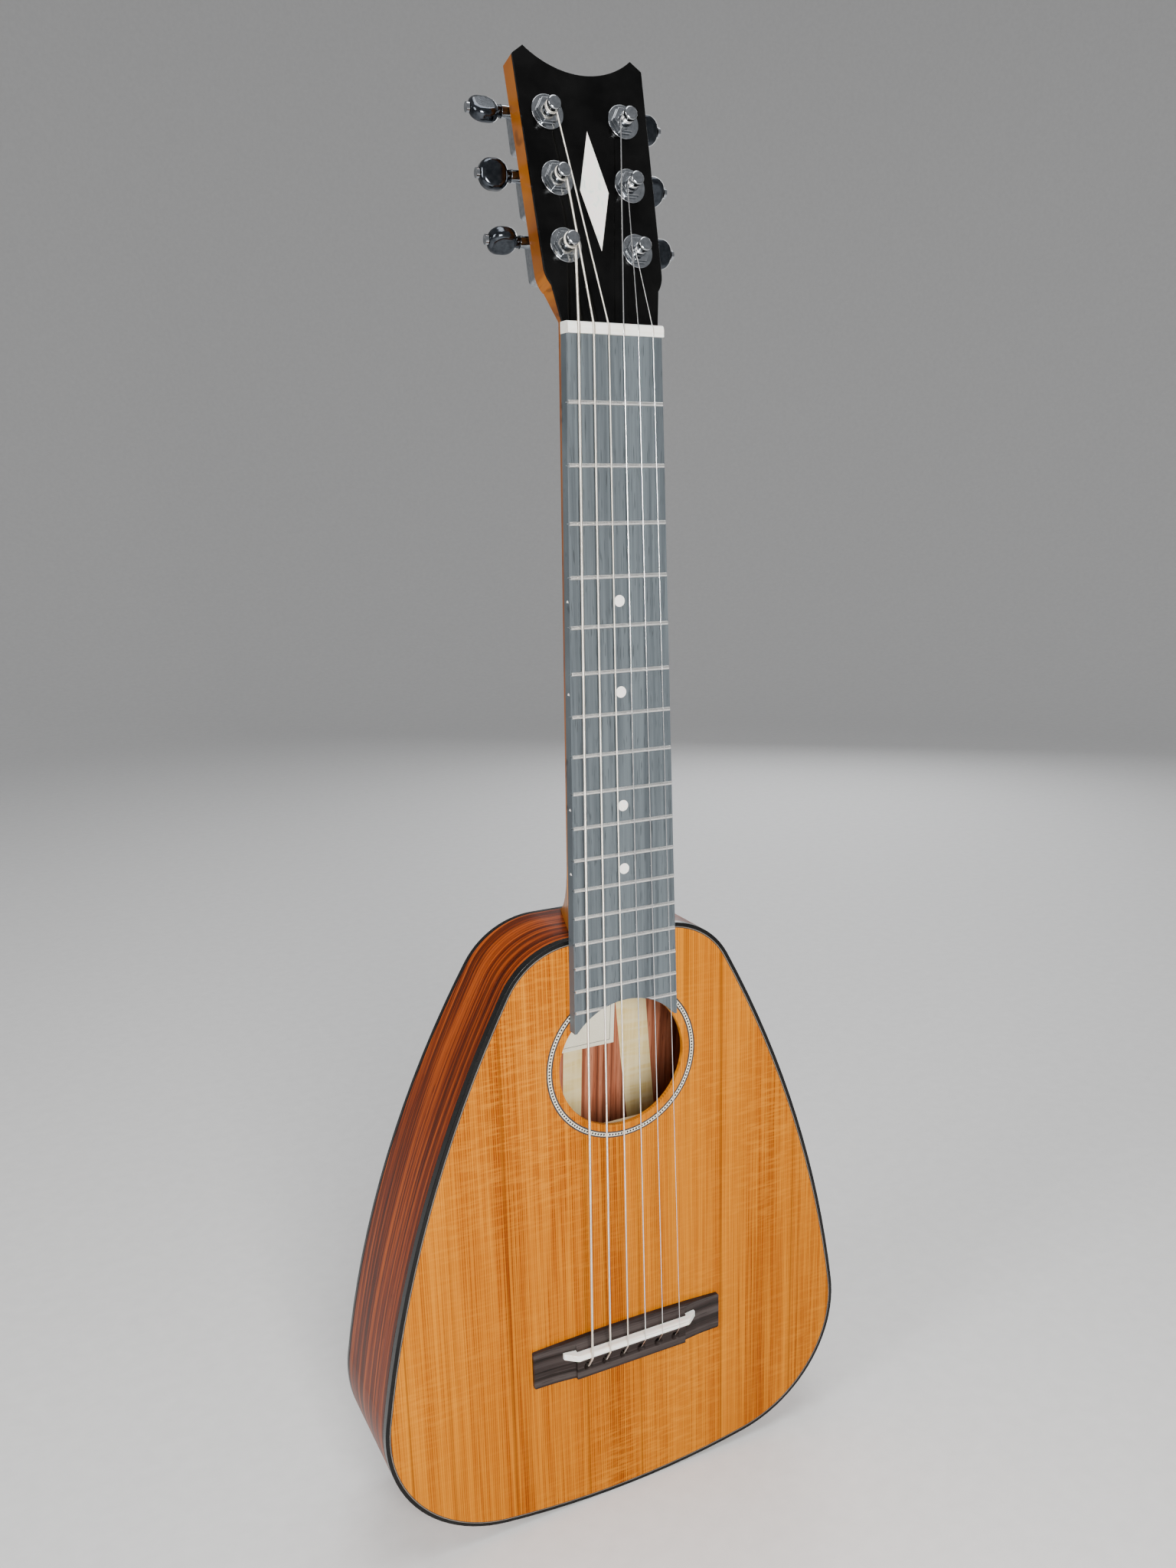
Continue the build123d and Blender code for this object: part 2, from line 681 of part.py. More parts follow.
with BuildPart() as headstock_veneer:
    with BuildSketch(HEAD):
        head_outline(0)
    extrude(amount=-VENEER_T)
    split(bisect_by=Plane.XY.offset(NUT_Z + NUT_T), keep=Keep.TOP)
    post_holes(SLEEVE_R + RUNNING)
    with BuildSketch(HEAD):
        diamond()
    extrude(amount=-INLAY_T, mode=Mode.SUBTRACT)
save(headstock_veneer.part, "headstock_veneer")

with BuildPart() as headstock_inlay:
    with BuildSketch(HEAD):
        diamond()
    extrude(amount=-INLAY_T)
save(headstock_inlay.part, "headstock_inlay")

# --- fretboard ------------------------------------------------------------------------------------
def side_dot(z, mode=Mode.ADD):
    """A round marker in the bass edge of the fretboard."""
    place = (-board_half(z) + SIDE_DOT_L / 2, BOARD_Y + SIDE_DOT_DEPTH, z)
    with Locations(Location(place, (0, 90, 0))):
        Cylinder(SIDE_DOT_R, SIDE_DOT_L, mode=mode)


with BuildPart() as fretboard:
    with BuildSketch(front(BOARD_Y)):
        nut_half, end_half = board_half(NUT_Z), board_half(BOARD_END)
        polygon((nut_half, NUT_Z), (-nut_half, NUT_Z), (-end_half, BOARD_END), (end_half, BOARD_END))
        with Locations((0, HOLE_Z)):
            Circle(HOLE_R, mode=Mode.SUBTRACT)
    extrude(amount=-BOARD_T)
    with BuildSketch(front(BOARD_Y)):
        for n in range(1, FRETS + 1):
            with Locations((0, fret_z(n))):
                Rectangle(2 * BOARD_12_W, TANG_W)
    extrude(amount=-TANG_H, mode=Mode.SUBTRACT)
    for n in DOT_FRETS:
        plug(0, space_z(n), DOT_R, BOARD_Y, BOARD_Y + DOT_T)
        side_dot(space_z(n), mode=Mode.SUBTRACT)
save(fretboard.part, "fretboard")

with BuildPart() as position_dots:
    for n in DOT_FRETS:
        plug(0, space_z(n), DOT_R, BOARD_Y, BOARD_Y + DOT_T, mode=Mode.ADD)
        side_dot(space_z(n))
save(position_dots.part, "position_dots")

with BuildPart() as frets:
    for n in range(1, FRETS + 1):
        with BuildSketch(Plane.YZ):
            with BuildLine():
                ThreePointArc((BOARD_Y, fret_z(n) - FRET_W / 2), (BOARD_Y - FRET_H, fret_z(n)),
                              (BOARD_Y, fret_z(n) + FRET_W / 2))
                Line((BOARD_Y, fret_z(n) + FRET_W / 2), (BOARD_Y, fret_z(n) - FRET_W / 2))
            make_face()
            rectangle(BOARD_Y, BOARD_Y + TANG_H, fret_z(n) - TANG_W / 2, fret_z(n) + TANG_W / 2)
        extrude(amount=board_half(fret_z(n)) - FRET_INSET, both=True)
    plug(0, HOLE_Z, HOLE_R + FRET_INSET, BOARD_Y - 2, BOARD_Y + 3)
save(frets.part, "frets")

with BuildPart() as nut:
    top_y = BOARD_Y - NUT_PROUD
    with BuildSketch(front(FACE_Y)):
        rectangle(-BOARD_NUT_W / 2, BOARD_NUT_W / 2, NUT_Z, NUT_Z + NUT_T)
    extrude(amount=FACE_Y - top_y)
    upper = nut.edges().filter_by(Axis.X).group_by(Axis.Y)[0]
    fillet(upper.sort_by(Axis.Z)[-1], NUT_ROUND)
    for k in STRINGS:
        floor_y = BOARD_Y - NUT_SLOT
        with BuildSketch(Plane.YZ.offset(string_x(k, NUT_PITCH))):
            polygon(
                (floor_y, NUT_Z - 1),
                (floor_y, NUT_FALL_Z),
                (floor_y + NUT_FALL, NUT_Z + NUT_T + 1),
                (top_y - 1, NUT_Z + NUT_T + 1),
                (top_y - 1, NUT_Z - 1),
            )
        extrude(amount=GAUGES[k] / 2 + NUT_PLAY, both=True, mode=Mode.SUBTRACT)
save(nut.part, "nut")

# --- tuners ---------------------------------------------------------------------------------------

def case_prism(plane, wall, depth, mode):
    """The housing's box on a headstock plane, its sides `wall` inside the outer ones."""
    inner, outer, lower, upper = CASE
    with BuildSketch(plane) as footprint:
        rectangle(inner + wall, outer - wall, lower + wall, upper - wall)
        fillet(footprint.vertices(), CASE_CORNER - wall)
    extrude(footprint.sketch, amount=-depth, mode=mode)


with BuildPart() as treble_housings:
    for k in TREBLE:
        case_prism(post_plane(k, -HEAD_T), 0, CASE_DEPTH, Mode.ADD)
        lug_half, lug_t = LUG
        with BuildSketch(post_plane(k, -HEAD_T)):
            rectangle(-lug_half, lug_half, SCREW_V, 0)
            with Locations((0, SCREW_V)):
                Circle(lug_half)
        extrude(amount=-lug_t)
        with Locations(shaft_plane(k, CASE[1])):
            Cylinder(BOSS_R, BOSS_OUT - CASE[1], align=FROM_BASE)
        case_prism(post_plane(k, -HEAD_T), CASE_WALL, CASE_DEPTH - CASE_WALL, Mode.SUBTRACT)
        with Locations(shaft_plane(k, 0)):
            Cylinder(SHAFT_R + RUNNING, 2 * BOSS_OUT, align=FROM_BASE, mode=Mode.SUBTRACT)
            Cylinder(JOURNAL_R + RUNNING, 2 * BOSS_OUT, align=TO_TOP, mode=Mode.SUBTRACT)
        with Locations(screw_plane(k, -HEAD_T)):
            Cylinder(SCREW_R + FIT, 2 * SCREW_L, mode=Mode.SUBTRACT)

with BuildPart() as tuner_housings:
    add(treble_housings.part)
    mirror(about=Plane.YZ)
save(tuner_housings.part, "tuner_housings")

with BuildPart() as tuner_bushings:
    for k in STRINGS:
        with BuildSketch(post_plane(k, -HEAD_T)):
            Circle(SLEEVE_R)
        extrude(amount=HEAD_T + NUT_TOP)
        with BuildSketch(post_plane(k, 0)):
            Circle(WASHER_R)
        extrude(amount=WASHER_T)
        with BuildSketch(post_plane(k, WASHER_T)):
            RegularPolygon(HEX_FLATS / 2, 6, major_radius=False)
        extrude(amount=NUT_TOP - WASHER_T)
        with Locations(post_plane(k, 0)):
            Cylinder(POST_R + RUNNING, 3 * HEAD_T, mode=Mode.SUBTRACT)
save(tuner_bushings.part, "tuner_bushings")

with BuildPart() as tuner_screws:
    for k in STRINGS:
        head_r, head_h = SCREW_HEAD
        with Locations(screw_plane(k, -HEAD_T - LUG[1])):
            Cylinder(SCREW_R, SCREW_L + LUG[1], align=FROM_BASE)
            Cylinder(head_r, head_h, align=TO_TOP)
save(tuner_screws.part, "tuner_screws")


def gear_section():
    """The worm wheel's section: a gap between two teeth faces the worm."""
    Circle(GEAR_ROOT_R)
    with PolarLocations(GEAR_R, TEETH, start_angle=90 + 180 / TEETH):
        root, tip = GEAR_ROOT_R - GEAR_R - FIT, GEAR_TIP_R - GEAR_R
        root_half, tip_half = TOOTH_HALF
        polygon((root, -root_half), (tip, -tip_half), (tip, tip_half), (root, root_half))


for k in STRINGS:
    with BuildPart() as post:
        with BuildSketch(post_plane(k, POST_FOOT)):
            Circle(POST_R)
        extrude(amount=WAIST_N[0] - POST_FOOT)
        with BuildSketch(post_plane(k, WAIST_N[0])):
            Circle(WAIST_R)
        extrude(amount=WAIST_N[1] - WAIST_N[0])
        with BuildSketch(post_plane(k, WAIST_N[1])):
            Circle(CAP_R)
        extrude(amount=POST_TOP - WAIST_N[1])
        rims = post.edges().filter_by(GeomType.CIRCLE)
        fillet(rims.sort_by(Axis(HEAD.origin, HEAD.z_dir))[-1], POST_ROUND)
        with BuildSketch(post_plane(k, SHAFT_N - GEAR_T / 2)):
            gear_section()
        extrude(amount=GEAR_T)
        with Locations(post_plane(k, CROSS_HOLE_N)):
            Cylinder(CROSS_HOLE_R, 4 * POST_R, rotation=(90, 0, 0), mode=Mode.SUBTRACT)
    save(post.part, f"post_{k}")


def turned(k, radius, out_from, out_to, mode=Mode.ADD):
    """A cylinder on a worm shaft's axis, between two distances from the post."""
    with Locations(shaft_plane(k, out_from)):
        Cylinder(radius, out_to - out_from, align=FROM_BASE, mode=mode)


with BuildPart() as thread:
    with BuildLine() as helix:
        Helix(WORM_LEAD, WORM_TURNS * WORM_LEAD, WORM_CORE_R)
    with BuildSketch(Plane(origin=(WORM_CORE_R, 0, 0), x_dir=(1, 0, 0), z_dir=(0, 1, 0))):
        thread_h = WORM_TIP_R - WORM_CORE_R
        root_half, crest_half = THREAD_HALF
        polygon(
            (-THREAD_SINK, -root_half),
            (thread_h, -crest_half),
            (thread_h, crest_half),
            (-THREAD_SINK, root_half),
        )
    sweep(path=helix.line, is_frenet=True)

shank_r, hole_l, screw_head_r, screw_head_h = END_SCREW
worm_shafts = {}
for k in TREBLE:
    with BuildPart() as worm_shaft:
        turned(k, WORM_CORE_R, CASE[0] + FIT, WORM_END)
        with Locations(shaft_plane(k, -WORM_TURNS * WORM_LEAD / 2)):
            add(thread.part)
        turned(k, SHAFT_R, WORM_END, SHAFT_END)
        turned(k, shank_r + RUNNING, SHAFT_END - hole_l, SHAFT_END, Mode.SUBTRACT)
        turned(k, shank_r, SHAFT_END - hole_l + FIT, BUTTON_OUT[1] + FIT)
        turned(k, screw_head_r, BUTTON_OUT[1] + FIT, BUTTON_OUT[1] + screw_head_h)
    worm_shafts[k] = worm_shaft.part
    worm_shafts[7 - k] = mirror(worm_shaft.part, about=Plane.YZ)

for k in STRINGS:
    save(worm_shafts[k], f"worm_shaft_{k}")

for k in STRINGS:
    with BuildPart() as button:
        base, tip = BUTTON_OUT
        turn = BUTTON_TURN[k]
        across = shaft_plane(k, (base + tip) / 2, turn)
        with BuildSketch(Plane(origin=across.origin, x_dir=across.z_dir, z_dir=across.y_dir)):
            RectangleRounded(tip - base, BUTTON_W, BUTTON_CORNER)
        extrude(amount=BUTTON_T / 2, both=True)
        rims = button.faces().sort_by(Axis(across.origin, across.y_dir))
        fillet(rims[0].edges() + rims[-1].edges(), BUTTON_EDGE)
        turned(k, BUTTON_COLLAR[0], base - BUTTON_COLLAR[1], (base + tip) / 2)
        turned(k, SHAFT_R + FIT, base - 2, SHAFT_END + FIT, Mode.SUBTRACT)
        turned(k, shank_r + FIT, base, tip + 1, Mode.SUBTRACT)
    save(button.part, f"button_{k}")

# --- strings --------------------------------------------------------------------------------------
def string_height(k):
    """Height above the headstock's face at which a string comes to its post."""
    return NUT_TOP + FLOOR_GAP + GAUGES[k] / 2


for k in STRINGS:
    gauge = GAUGES[k]
    with BuildPart() as winding:
        ring_r = WAIST_R + gauge / 2 + STRING_GAP
        room = WAIST_N[1] - string_height(k) - gauge
        rings = max(2, min(MOST_TURNS, int(room / gauge)))
        for ring in range(rings):
            height = string_height(k) + gauge + TURN_GAP + ring * (gauge + STRING_GAP)
            with Locations(post_plane(k, height)):
                Torus(ring_r, gauge / 2)
    save(winding.part, f"winding_{k}")

for k in STRINGS:
    gauge = GAUGES[k]
    saddle_x, nut_x = string_x(k, SADDLE_PITCH), string_x(k, NUT_PITCH)
    bend_r = SADDLE_T / 2 + gauge / 2 + STRING_GAP
    crown = Vector(saddle_x, SADDLE_Y + SADDLE_T / 2 - bend_r, SADDLE_Z - bend_r * math.tan(BREAK / 2))
    drop = (crown.Z - STRING_HOLE_Z) * math.tan(BREAK)
    ball_y = UNDER_Y + PLATE[3] + BALL_R + STRING_GAP
    u, v = post_uv(k)
    reach = side_of(k) * (WAIST_R + gauge / 2 + POST_GAP)
    with BuildPart() as string:
        with BuildLine():
            run = FilletPolyline(
                (saddle_x, ball_y, STRING_HOLE_Z),
                (saddle_x, crown.Y + drop, STRING_HOLE_Z),
                crown,
                (nut_x, BOARD_Y - NUT_SLOT - gauge / 2 - STRING_GAP, NUT_BREAK_Z),
                head_point(u - reach, v, string_height(k)),
                radius=(BALL_BEND_R, bend_r, NUT_BEND_R),
            )
        with BuildSketch(Plane(origin=run @ 0, x_dir=(1, 0, 0), z_dir=run % 0)):
            Circle(gauge / 2)
        sweep(path=run)
        with Locations(Location((saddle_x, ball_y, STRING_HOLE_Z), (0, 90, 0))):
            Cylinder(BALL_R, BALL_L)
    save(string.part, f"string_{k}")
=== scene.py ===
import json
import math

import bmesh
import bpy
from mathutils import Matrix, Vector


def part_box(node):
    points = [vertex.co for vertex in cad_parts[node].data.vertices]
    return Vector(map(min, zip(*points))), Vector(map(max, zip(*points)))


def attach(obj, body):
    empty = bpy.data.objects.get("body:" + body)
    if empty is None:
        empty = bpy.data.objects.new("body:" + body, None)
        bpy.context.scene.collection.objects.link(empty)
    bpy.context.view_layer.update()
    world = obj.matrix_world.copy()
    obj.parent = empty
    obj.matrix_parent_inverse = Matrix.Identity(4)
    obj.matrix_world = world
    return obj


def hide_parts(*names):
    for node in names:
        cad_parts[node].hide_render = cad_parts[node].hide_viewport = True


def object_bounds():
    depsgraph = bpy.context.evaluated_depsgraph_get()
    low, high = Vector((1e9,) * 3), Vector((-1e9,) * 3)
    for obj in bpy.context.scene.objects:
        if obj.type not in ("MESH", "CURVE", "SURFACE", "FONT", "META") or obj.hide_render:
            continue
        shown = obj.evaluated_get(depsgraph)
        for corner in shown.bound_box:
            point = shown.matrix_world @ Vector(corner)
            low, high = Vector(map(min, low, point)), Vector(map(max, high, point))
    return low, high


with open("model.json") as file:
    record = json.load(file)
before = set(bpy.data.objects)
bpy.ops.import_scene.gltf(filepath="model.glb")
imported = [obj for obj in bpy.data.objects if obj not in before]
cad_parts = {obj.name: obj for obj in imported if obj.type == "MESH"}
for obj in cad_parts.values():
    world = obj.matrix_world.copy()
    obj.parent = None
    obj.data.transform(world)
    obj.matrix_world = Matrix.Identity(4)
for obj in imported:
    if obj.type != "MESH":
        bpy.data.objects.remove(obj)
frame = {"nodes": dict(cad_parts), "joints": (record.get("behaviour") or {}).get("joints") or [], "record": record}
cad_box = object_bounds()
record = frame["record"]
MM = 0.001

# --- camera, floor and light ----------------------------------------------------------------------
# The guitar stands on its tail. The camera looks down at it from its bass side.
CAMERA_AT = (-0.2806, -0.5960, 0.5442)
CAMERA_RIGHT = (0.8792564, -0.4762427, -0.0100513)
CAMERA_UP = (0.1365523, 0.2317805, 0.9631362)
CAMERA_BACK = (-0.4563569, -0.8482163, 0.2688265)
LENS_MM = 30.033
SENSOR_MM = 36.0
SHIFT = (-0.0449, 0.0518)
CLIP_START = 0.01
# Metres: the flat floor, its sweep and the wall above. Then the steps up the sweep and round it.
FLOOR_R, SWEEP_R, WALL_UP = 2.6, 1.6, 1.2
SWEEP_STEPS, ROUND_STEPS = 24, 128
FLOOR_SMOOTH_DEGREES = 60
# Name, place, size in metres, watts and colour of each area light. All of them face LIGHT_AIM.
LIGHTS = (
    ("key", (-0.22, -0.86, 0.56), (0.30, 0.30), 15, (1.0, 0.98, 0.94)),
    ("fill", (-1.6, -0.5, 1.0), (0.5, 0.9), 15, (1.0, 0.98, 0.95)),
    ("top", (0.1, -0.1, 2.2), (1.4, 1.0), 22, (1.0, 1.0, 1.0)),
    ("behind", (1.2, 1.5, 1.1), (0.8, 1.4), 14, (0.97, 0.98, 1.0)),
)
LIGHT_AIM = (0.0, 0.0, 0.35)
WORLD_COLOUR = (0.80, 0.81, 0.83)
WORLD_STRENGTH = 0.42


def make_camera():
    camera = bpy.data.objects.new("camera", bpy.data.cameras.new("camera"))
    bpy.context.collection.objects.link(camera)
    rotation = Matrix((CAMERA_RIGHT, CAMERA_UP, CAMERA_BACK)).transposed()
    camera.matrix_world = Matrix.Translation(CAMERA_AT) @ rotation.to_4x4()
    camera.data.sensor_fit = "VERTICAL"
    camera.data.sensor_height = SENSOR_MM
    camera.data.lens = LENS_MM
    camera.data.shift_x, camera.data.shift_y = SHIFT
    camera.data.clip_start = CLIP_START
    bpy.context.scene.camera = camera


def area_light(name, place, size, watts, colour):
    light = bpy.data.lights.new(name, "AREA")
    light.shape = "RECTANGLE"
    light.size, light.size_y = size
    light.energy = watts
    light.color = colour
    lamp = bpy.data.objects.new(name, light)
    lamp.location = place
    lamp.rotation_euler = (Vector(place) - Vector(LIGHT_AIM)).to_track_quat("Z", "Y").to_euler()
    bpy.context.collection.objects.link(lamp)


def make_lights():
    for light in LIGHTS:
        area_light(*light)
    world = bpy.data.worlds.new("studio")
    world.use_nodes = True
    background = world.node_tree.nodes["Background"]
    background.inputs["Color"].default_value = (*WORLD_COLOUR, 1.0)
    background.inputs["Strength"].default_value = WORLD_STRENGTH
    bpy.context.scene.world = world


# --- node trees -----------------------------------------------------------------------------------
class Look:
    """A material's node tree, with short calls for the nodes that these materials use."""

    def __init__(self, name):
        self.material = bpy.data.materials.new(name)
        self.material.use_nodes = True
        self.tree = self.material.node_tree
        self.shader = self.tree.nodes["Principled BSDF"]
        self.place = self.node("ShaderNodeTexCoord").outputs["Object"]

    def node(self, kind, **values):
        node = self.tree.nodes.new(kind)
        for name, value in values.items():
            setattr(node, name, value)
        return node

    def put(self, socket, value):
        if isinstance(value, bpy.types.NodeSocket):
            self.tree.links.new(value, socket)
        else:
            socket.default_value = value

    def set(self, **values):
        """Sets the shader's own sockets: base_color becomes Base Color, and so on."""
        for name, value in values.items():
            socket = self.shader.inputs[name.replace("_", " ").title().replace("Ior", "IOR")]
            self.put(socket, value if not isinstance(value, tuple) or len(value) != 3 else (*value, 1.0))

    def math(self, operation, first, second=0.0):
        node = self.node("ShaderNodeMath", operation=operation)
        self.put(node.inputs[0], first)
        self.put(node.inputs[1], second)
        return node.outputs[0]

    def axis(self, name):
        split = self.node("ShaderNodeSeparateXYZ")
        self.put(split.inputs[0], self.place)
        return split.outputs[name]

    def noise(self, scale, detail=3.0, rough=0.55, warp=0.0, shift=0.0):
        """Noise whose three scales are in cells per metre."""
        mapping = self.node("ShaderNodeMapping")
        self.put(mapping.inputs["Vector"], self.place)
        mapping.inputs["Scale"].default_value = scale
        mapping.inputs["Location"].default_value = (shift, shift * 0.7, shift * 1.3)
        node = self.node("ShaderNodeTexNoise")
        self.put(node.inputs["Vector"], mapping.outputs[0])
        node.inputs["Scale"].default_value = 1.0
        node.inputs["Detail"].default_value = detail
        node.inputs["Roughness"].default_value = rough
        node.inputs["Distortion"].default_value = warp
        return node.outputs["Fac"]

    def ramp(self, factor, *stops):
        """Colour ramp; each stop is (position, red, green, blue)."""
        node = self.node("ShaderNodeValToRGB")
        self.put(node.inputs[0], factor)
        elements = node.color_ramp.elements
        while len(elements) < len(stops):
            elements.new(0.5)
        for element, (position, *colour) in zip(elements, stops):
            element.position = position
            element.color = (*colour, 1.0)
        return node.outputs["Color"]

    def level(self, factor, low, high, at_low=0.0, at_high=1.0):
        """Spreads factor from low..high to at_low..at_high, and holds it there outside."""
        node = self.node("ShaderNodeMapRange")
        for number, value in enumerate((factor, low, high, at_low, at_high)):
            self.put(node.inputs[number], value)
        return node.outputs[0]

    def mix(self, factor, first, second, blend="MIX"):
        node = self.node("ShaderNodeMix", data_type="RGBA", blend_type=blend)
        self.put(node.inputs[0], factor)
        for socket, value in zip(node.inputs[6:8], (first, second)):
            self.put(socket, (*value, 1.0) if isinstance(value, tuple) else value)
        return node.outputs[2]

    def bump(self, height, depth, strength=1.0):
        """Bump `depth` metres deep; a second call stacks on the first."""
        node = self.node("ShaderNodeBump")
        node.inputs["Distance"].default_value = depth
        node.inputs["Strength"].default_value = strength
        self.put(node.inputs["Height"], height)
        normal = self.shader.inputs["Normal"]
        if normal.is_linked:
            self.tree.links.new(normal.links[0].from_socket, node.inputs["Normal"])
        self.tree.links.new(node.outputs[0], normal)


# --- woods ----------------------------------------------------------------------------------------
GROWTH_LINES = 5200.0                # radians of growth line in each metre across the top
LINE_WANDER = 46.0                   # radians that the lines stray


def grain_scale(across, fast, slow):
    """Noise scales that are fast across the grain and slow along it and through the board."""
    scale = [slow] * 3
    scale["XYZ".index(across)] = fast
    return tuple(scale)


def cedar(name):
    """Straight-grained cedar top: fine growth lines, wide warm bands and a silky cross figure."""
    look = Look(name)
    bands = look.noise((38.0, 38.0, 1.1), 4.0, 0.6)
    fine = look.noise((900.0, 300.0, 9.0), 3.0, 0.6, shift=3.0)
    wander = look.noise((14.0, 14.0, 2.2), 2.0, 0.5, shift=7.0)
    straight = look.math("MULTIPLY", look.axis("X"), GROWTH_LINES)
    phase = look.math("ADD", straight, look.math("MULTIPLY", wander, LINE_WANDER))
    wave = look.math("ADD", look.math("MULTIPLY", look.math("SINE", phase), 0.5), 0.5)
    lines = look.math("POWER", wave, 2.6)
    tone = look.ramp(
        bands,
        (0.30, 0.270, 0.056, 0.000),
        (0.44, 0.355, 0.088, 0.000),
        (0.56, 0.420, 0.120, 0.000),
        (0.70, 0.490, 0.155, 0.001),
    )
    line_mask = look.math("MULTIPLY", lines, look.level(bands, 0.35, 0.62, 0.85, 0.40))
    tone = look.mix(line_mask, tone, (0.095, 0.012, 0.000))
    tone = look.mix(look.level(fine, 0.42, 0.66, 0.0, 0.50), tone, (0.62, 0.225, 0.004))
    silk = look.noise((75.0, 75.0, 640.0), 2.0, 0.6, warp=0.12, shift=11.0)
    patches = look.noise((9.0, 9.0, 6.0), 2.0, 0.5, shift=5.0)
    silk_share = look.level(patches, 0.40, 0.64, 0.06, 0.32)
    silk_mask = look.math("MULTIPLY", look.level(silk, 0.46, 0.66), silk_share)
    tone = look.mix(silk_mask, tone, (0.70, 0.270, 0.010))
    years = look.noise((210.0, 210.0, 0.7), 2.0, 0.7, shift=17.0)
    tone = look.mix(look.level(years, 0.60, 0.67, 0.0, 0.55), tone, (0.130, 0.020, 0.000))
    look.set(base_color=tone, roughness=look.level(fine, 0.3, 0.7, 0.34, 0.46))
    look.set(coat_weight=0.02, coat_roughness=0.22, specular_ior_level=0.07)
    look.bump(lines, 0.00003, 0.5)
    look.bump(fine, 0.00004, 0.4)
    look.bump(silk, 0.00003, 0.3)
    return look.material


def hardwood(name, across, tones, streak, pores=0.5, gloss=0.1, rough=0.30, ink=0.6, shine=0.20):
    """Streaky hardwood: wide streaks, fine fibres, dark ink lines and open pores under lacquer.

    The tones are dark, middle and light, and `streak` is how many streaks a metre holds.
    """
    dark, middle, light = tones
    look = Look(name)
    streaks = look.noise(grain_scale(across, streak, streak * 0.014), 5.0, 0.60, warp=0.25)
    fibres = look.noise(grain_scale(across, 1500.0, 22.0), 3.0, 0.6, shift=2.0)
    broad = look.noise(grain_scale(across, streak * 0.2, 3.0), 3.0, 0.5, shift=6.0)
    pore_field = look.noise(grain_scale(across, 1900.0, 90.0), 1.0, 0.5, shift=9.0)
    mixed = look.math("ADD", look.math("MULTIPLY", streaks, 0.7), look.math("MULTIPLY", broad, 0.3))
    tone = look.ramp(mixed, (0.43, *dark), (0.50, *middle), (0.58, *light))
    ink_scale = grain_scale(across, streak * 1.6, streak * 0.012)
    ink_lines = look.noise(ink_scale, 4.0, 0.66, warp=0.3, shift=13.0)
    shade = tuple(0.25 * channel for channel in dark)
    tone = look.mix(look.level(ink_lines, 0.57, 0.66, 0.0, ink), tone, shade)
    tone = look.mix(look.level(fibres, 0.35, 0.75, 0.0, 0.35), tone, light)
    pore_mask = look.level(pore_field, 0.64, 0.70, 0.0, pores)
    tone = look.mix(pore_mask, tone, shade)
    look.set(base_color=tone, roughness=look.level(fibres, 0.3, 0.7, rough, rough + 0.14))
    look.set(coat_weight=gloss, coat_roughness=0.10, specular_ior_level=shine)
    look.bump(fibres, 0.00002, 0.4)
    look.bump(look.math("SUBTRACT", 1.0, pore_mask), 0.00005, 0.5)
    return look.material


def maple(name, curl):
    """Pale maple, with a faint grain and a curl that runs across it."""
    look = Look(name)
    grain = look.noise((420.0, 200.0, 9.0), 4.0, 0.6)
    ripple = look.noise((22.0, 22.0, 150.0), 2.0, 0.5, warp=0.8, shift=4.0)
    tone = look.ramp(
        grain,
        (0.30, 0.78, 0.58, 0.22),
        (0.55, 0.88, 0.70, 0.32),
        (0.75, 0.94, 0.80, 0.42),
    )
    tone = look.mix(look.level(ripple, 0.45, 0.62, 0.0, curl), tone, (0.96, 0.86, 0.56))
    look.set(base_color=tone, roughness=look.level(ripple, 0.35, 0.65, 0.36, 0.50), coat_weight=0.2)
    look.set(coat_roughness=0.2)
    look.bump(grain, 0.00002, 0.5)
    return look.material


# --- trims, metals and the rest -------------------------------------------------------------------
def lacquer(name, colour, roughness=0.22, coat=0.6):
    """Plastic binding or black lacquer, with faint polishing haze and fine scratches."""
    look = Look(name)
    haze = look.noise((60.0, 60.0, 60.0), 3.0, 0.6)
    scratches = look.noise((3000.0, 3000.0, 120.0), 2.0, 0.7, warp=1.5, shift=5.0)
    worn = tuple(min(1.0, 1.25 * channel + 0.002) for channel in colour)
    tone = look.mix(look.level(haze, 0.35, 0.65), colour, worn)
    look.set(base_color=tone, roughness=look.level(haze, 0.3, 0.7, roughness, roughness + 0.10))
    look.set(coat_weight=coat, coat_roughness=0.05, specular_ior_level=0.15)
    look.bump(scratches, 0.000002, 0.5)
    return look.material


def bone(name):
    """Polished bone: warm white, faint streaks and soft light inside."""
    look = Look(name)
    streaks = look.noise((30.0, 700.0, 700.0), 3.0, 0.6)
    blotches = look.noise((120.0, 120.0, 120.0), 2.0, 0.5, shift=3.0)
    tone = look.ramp(
        streaks,
        (0.30, 0.80, 0.78, 0.70),
        (0.55, 0.90, 0.90, 0.86),
        (0.80, 0.95, 0.96, 0.94),
    )
    tone = look.mix(look.level(blotches, 0.5, 0.7, 0.0, 0.25), tone, (0.78, 0.72, 0.58))
    look.set(base_color=tone, roughness=look.level(blotches, 0.3, 0.7, 0.26, 0.38))
    look.set(subsurface_weight=0.15, subsurface_scale=0.002)
    look.bump(streaks, 0.00001, 0.4)
    return look.material


def metal(name, dark, light, roughness, marks=0.10):
    """Plated or drawn metal, with slight clouding and hair scratches."""
    look = Look(name)
    cloud = look.noise((400.0, 400.0, 400.0), 2.0, 0.6)
    hair = look.noise((5200.0, 5200.0, 500.0), 2.0, 0.7, warp=0.8, shift=4.0)
    tone = look.mix(look.level(cloud, 0.3, 0.7), dark, light)
    look.set(base_color=tone, metallic=1.0)
    look.set(roughness=look.level(hair, 0.35, 0.75, roughness, roughness + marks))
    look.bump(hair, 0.000002, 0.4)
    return look.material


